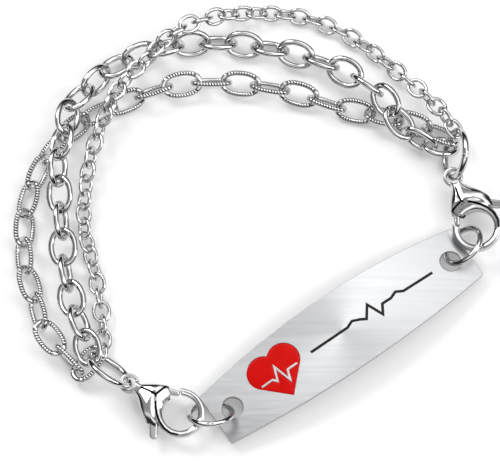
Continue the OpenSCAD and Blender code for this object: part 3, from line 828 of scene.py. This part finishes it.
# creases between the three cushions: they meet beside the pivot
FORK = (4.33, 0.41)
CREASES = [[(1.9, 0.3), (3.0, 0.42), FORK],
           [FORK, (4.62, 1.3), (5.0, 2.3)],
           [FORK, (4.62, -0.3), (5.18, -1.1), (5.9, -1.95), (6.8, -2.72), (7.9, -3.22),
            (9.0, -3.33), (10.0, -3.0)]]


def to_creases(x, y):
    return np.min([to_path(x, y, line) for line in CREASES], 0)


def lever_arms(x, y, play=0.0):
    """2D distance to the lever's gate and to its trigger, both wider by play."""
    gate = np.minimum(cone2(x, y, PIVOT, GATE_ROOT + play, ELBOW, ELBOW_R + play),
                      cone2(x, y, ELBOW, ELBOW_R + play, TIP, TIP_R + play))
    return gate, cone2(x, y, PIVOT, TRIGGER_ROOT + play, TRIGGER, TRIGGER_R + play)


def clasp_body(p):
    """Distance, roughly, to a clasp's body: the eye at the origin, the hook along x."""
    x, y, z = p[:, 0], p[:, 1], np.abs(p[:, 2])
    hx, hy = x - REACH, y
    r = np.hypot(hx, hy)
    phi = np.arctan2(hy, hx)
    # outline: body with its step at the gate, hook and neck
    body = cone2(x, y, NECK, NECK_R, BELLY, BELLY_R)
    past_gate = ((x - GATE_STEP[0]) * GATE_STEP_NORMAL[0]
                 + (y - GATE_STEP[1]) * GATE_STEP_NORMAL[1])
    body = smax(body, past_gate, 0.12)
    hook = np.abs(r - (OPEN_R + HOOK_WALL / 2)) - HOOK_WALL / 2
    hook = np.maximum(hook, -sector2(x, y, TIP_REACH, 8, 100))
    outline = smin(body, hook, 0.4)
    outline = np.maximum(outline, OPEN_R - r)
    # top of the body: three cushions
    grow = smooth(1.2, 4.6, x)
    mid_y, half = -0.45 * grow, 0.85 + 1.95 * grow
    rel = np.abs(y - mid_y) / half
    crest = 0.92 + 0.52 * grow
    edge = 0.48 + 0.4 * grow
    cushion = crest - (crest - edge) * np.minimum(rel, 1.2) ** 3.6
    # rim round the opening, lower towards the far side
    back_turn = np.abs((phi - math.radians(190) + math.pi) % (2 * math.pi) - math.pi)
    w = 1 - smooth(math.radians(15), math.radians(115), back_turn)
    ridge_r = OPEN_R + 0.62 + 0.35 * (1 - smooth(0, math.radians(70), back_turn))
    ridge_h = HOOK_T / 2 - 0.01 + 0.62 * w
    rim = ridge_h - 0.22 * (r - ridge_r) - 0.25 * (r - ridge_r) ** 2
    inner = ridge_h - 0.16 * (ridge_r - r) - 0.3 * (ridge_r - r) ** 2
    ring = np.where(r > ridge_r, rim, inner)
    blend = smooth(OPEN_R + 1.7, OPEN_R + 0.75, r)
    top = cushion * (1 - blend) + ring * blend
    crease = to_creases(x, y)
    depth = 0.26 * smooth(0.55, 1.0, ridge_h * blend + cushion * (1 - blend)) + 0.1
    top = (top + 0.1 * smooth(0.0, 0.7, crease) * grow * (1 - blend)
           - depth * np.maximum(0, 1 - crease / 0.13))
    d = smax(outline, (z - top) * 0.9, 0.22)
    # eye
    e = np.hypot(x, y)
    q1, q2 = np.abs(e - EYE_R) - 0.06, z - 0.26
    eye = np.hypot(np.maximum(q1, 0), np.maximum(q2, 0)) + np.minimum(np.maximum(q1, q2), 0)
    d = smin(d, eye - EYE_ROUND, 0.3)
    d = smax(d, EYE_HOLE_R - e, 0.12)
    # slot of the lever and its swing
    slot = np.hypot(x - PIVOT[0], y - PIVOT[1]) - HUB_R - PLAY
    for turn in range(0, TRAVEL + 1, 4):
        slot = np.minimum(slot, np.minimum(*lever_arms(*turned_back(x, y, turn), PLAY)))
    slot = np.maximum(slot, z - SLOT_H / 2)
    return np.maximum(d, -slot)


def crease_shade(p):
    """How much painted shade darkens the body's steel: 1 in the middle of a crease."""
    near = 1 - smooth(0.1, 0.24, to_creases(p[:, 0], p[:, 1]))
    return near * smooth(0.3, 0.6, np.abs(p[:, 2]))


def lever_field(p):
    x, y, z = p[:, 0], p[:, 1], np.abs(p[:, 2])
    gate, trigger = lever_arms(x, y)
    hub = np.hypot(x - PIVOT[0], y - PIVOT[1]) - HUB_R
    arm = smin(np.minimum(gate, hub), trigger, 0.15)
    return smax(arm, z - LEVER_T / 2, 0.3)


def turned(heading, pitch, roll):
    """Roll about x, then pitch about y, then heading about z."""
    (ch, cp, cr), (sh, sp, sr) = [[f(a) for a in (heading, pitch, roll)]
                                  for f in (math.cos, math.sin)]
    return (np.array([[ch, -sh, 0], [sh, ch, 0], [0, 0, 1]])
            @ np.array([[cp, 0, sp], [0, 1, 0], [-sp, 0, cp]])
            @ np.array([[1, 0, 0], [0, cr, -sr], [0, sr, cr]]))


STEP = 0.065
body_mesh = surface(clasp_body, (-2.0, -4.1, -1.75), (12.6, 4.1, 1.75), STEP)
lever_mesh = surface(lever_field, (2.8, -6.0, -0.8), (8.0, 3.6, 0.8), STEP * 0.9)
pins = {j["name"]: np.array(j["pos_m"]) * 1000 for j in frame["joints"]}
for side, angles in (("left", LEFT), ("right", RIGHT)):
    turn = turned(*angles)
    eye = pins[side + "_clasp_lever"] - turn @ np.array([PIVOT[0], PIVOT[1], 0])
    parts = (("body", body_mesh, "root"), ("lever", lever_mesh, side + "_lever"))
    for what, (p, q, nrm), body in parts:
        # the body's creases get painted shade through the crease attribute
        make(f"{side}_clasp_{what}_cast", p @ turn.T + eye, q.tolist(), STEEL, body=body,
             slot="polished_steel", replaces=(f"{side}_clasp_{what}",), normals=nrm @ turn.T,
             crease=crease_shade(p) if what == "body" else None)


# ---------------------------------------------------------------- floor
FLOOR_HALF, FLOOR_Z = 1.5, -0.00003         # metres: just below the part
floor_mesh = bpy.data.meshes.new("floor")
floor_mesh.from_pydata([(x * FLOOR_HALF, y * FLOOR_HALF, 0)
                        for x, y in ((-1, -1), (1, -1), (1, 1), (-1, 1))], [], [(0, 1, 2, 3)])
floor = bpy.data.objects.new("floor", floor_mesh)
scene.collection.objects.link(floor)
floor.location.z = FLOOR_Z
paper, _, paper_bsdf = new_material("paper")
settings(paper_bsdf, Base_Color=(0.7, 0.7, 0.705, 1), Emission_Color=(1, 1, 1, 1),
         Emission_Strength=0.2, Roughness=0.9, Specular_IOR_Level=0.1)
floor_mesh.materials.append(paper)

# ---------------------------------------------------------------- sky and lamps
SKY_STRENGTH = 2.0
world = bpy.data.worlds.new("studio")
scene.world = world
world.use_nodes = True
wt = world.node_tree
wt.nodes.clear()
world_out = node(wt, "ShaderNodeOutputWorld")
background = node(wt, "ShaderNodeBackground", Strength=SKY_STRENGTH)
wt.links.new(background.outputs[0], world_out.inputs[0])
direction = node(wt, "ShaderNodeTexCoord").outputs["Generated"]
height = node(wt, "ShaderNodeSeparateXYZ")
wt.links.new(direction, height.inputs[0])


def lobe(centre, stops):
    """A ramp over the angle from a direction: stops are (degrees, value), widest first."""
    dot = node(wt, "ShaderNodeVectorMath", operation="DOT_PRODUCT")
    dot.inputs[1].default_value = tuple(Vector(centre).normalized())
    wt.links.new(direction, dot.inputs[0])
    return ramp(wt, dot.outputs["Value"], [(math.cos(math.radians(a)), v) for a, v in stops])


# dark near the horizon, bright overhead
sky = ramp(wt, height.outputs["Z"],
           [(0.0, 0.01), (0.5, 0.03), (0.68, 0.4), (0.8, 0.95), (1.0, 0.95)])
# the dark lens, a grayer part of the sky at the left and a brighter panel beyond the lens
sky = mix(wt, 1.0, sky, lobe(back, [(15, 1.0), (9, 0.3), (0, 0.3)]), "MULTIPLY")
sky = mix(wt, 1.0, sky, lobe((-0.4, 0.03, 0.92), [(34, 1.0), (20, 0.3), (0, 0.22)]), "MULTIPLY")
sky = mix(wt, 1.0, sky, lobe((0.1, 0.36, 0.93), [(20, 0.0), (6, 0.3), (0, 0.3)]), "ADD")
wt.links.new(sky, background.inputs["Color"])


def softbox(name, place, size, watts):
    """A rectangular lamp that looks at the part."""
    d = bpy.data.lights.new(name, "AREA")
    d.shape = "RECTANGLE"
    d.size, d.size_y = size
    d.energy = watts
    o = bpy.data.objects.new(name, d)
    scene.collection.objects.link(o)
    o.location = place
    o.rotation_mode = "QUATERNION"
    o.rotation_quaternion = (-Vector(place)).to_track_quat("-Z", "Y")


softbox("key", (-0.35, 0.35, 0.55), (0.3, 0.3), 2.4)
softbox("fill", (0.5, -0.1, 0.4), (0.2, 0.4), 1.4)

scene.view_settings.view_transform = "Standard"
scene.view_settings.look = "None"
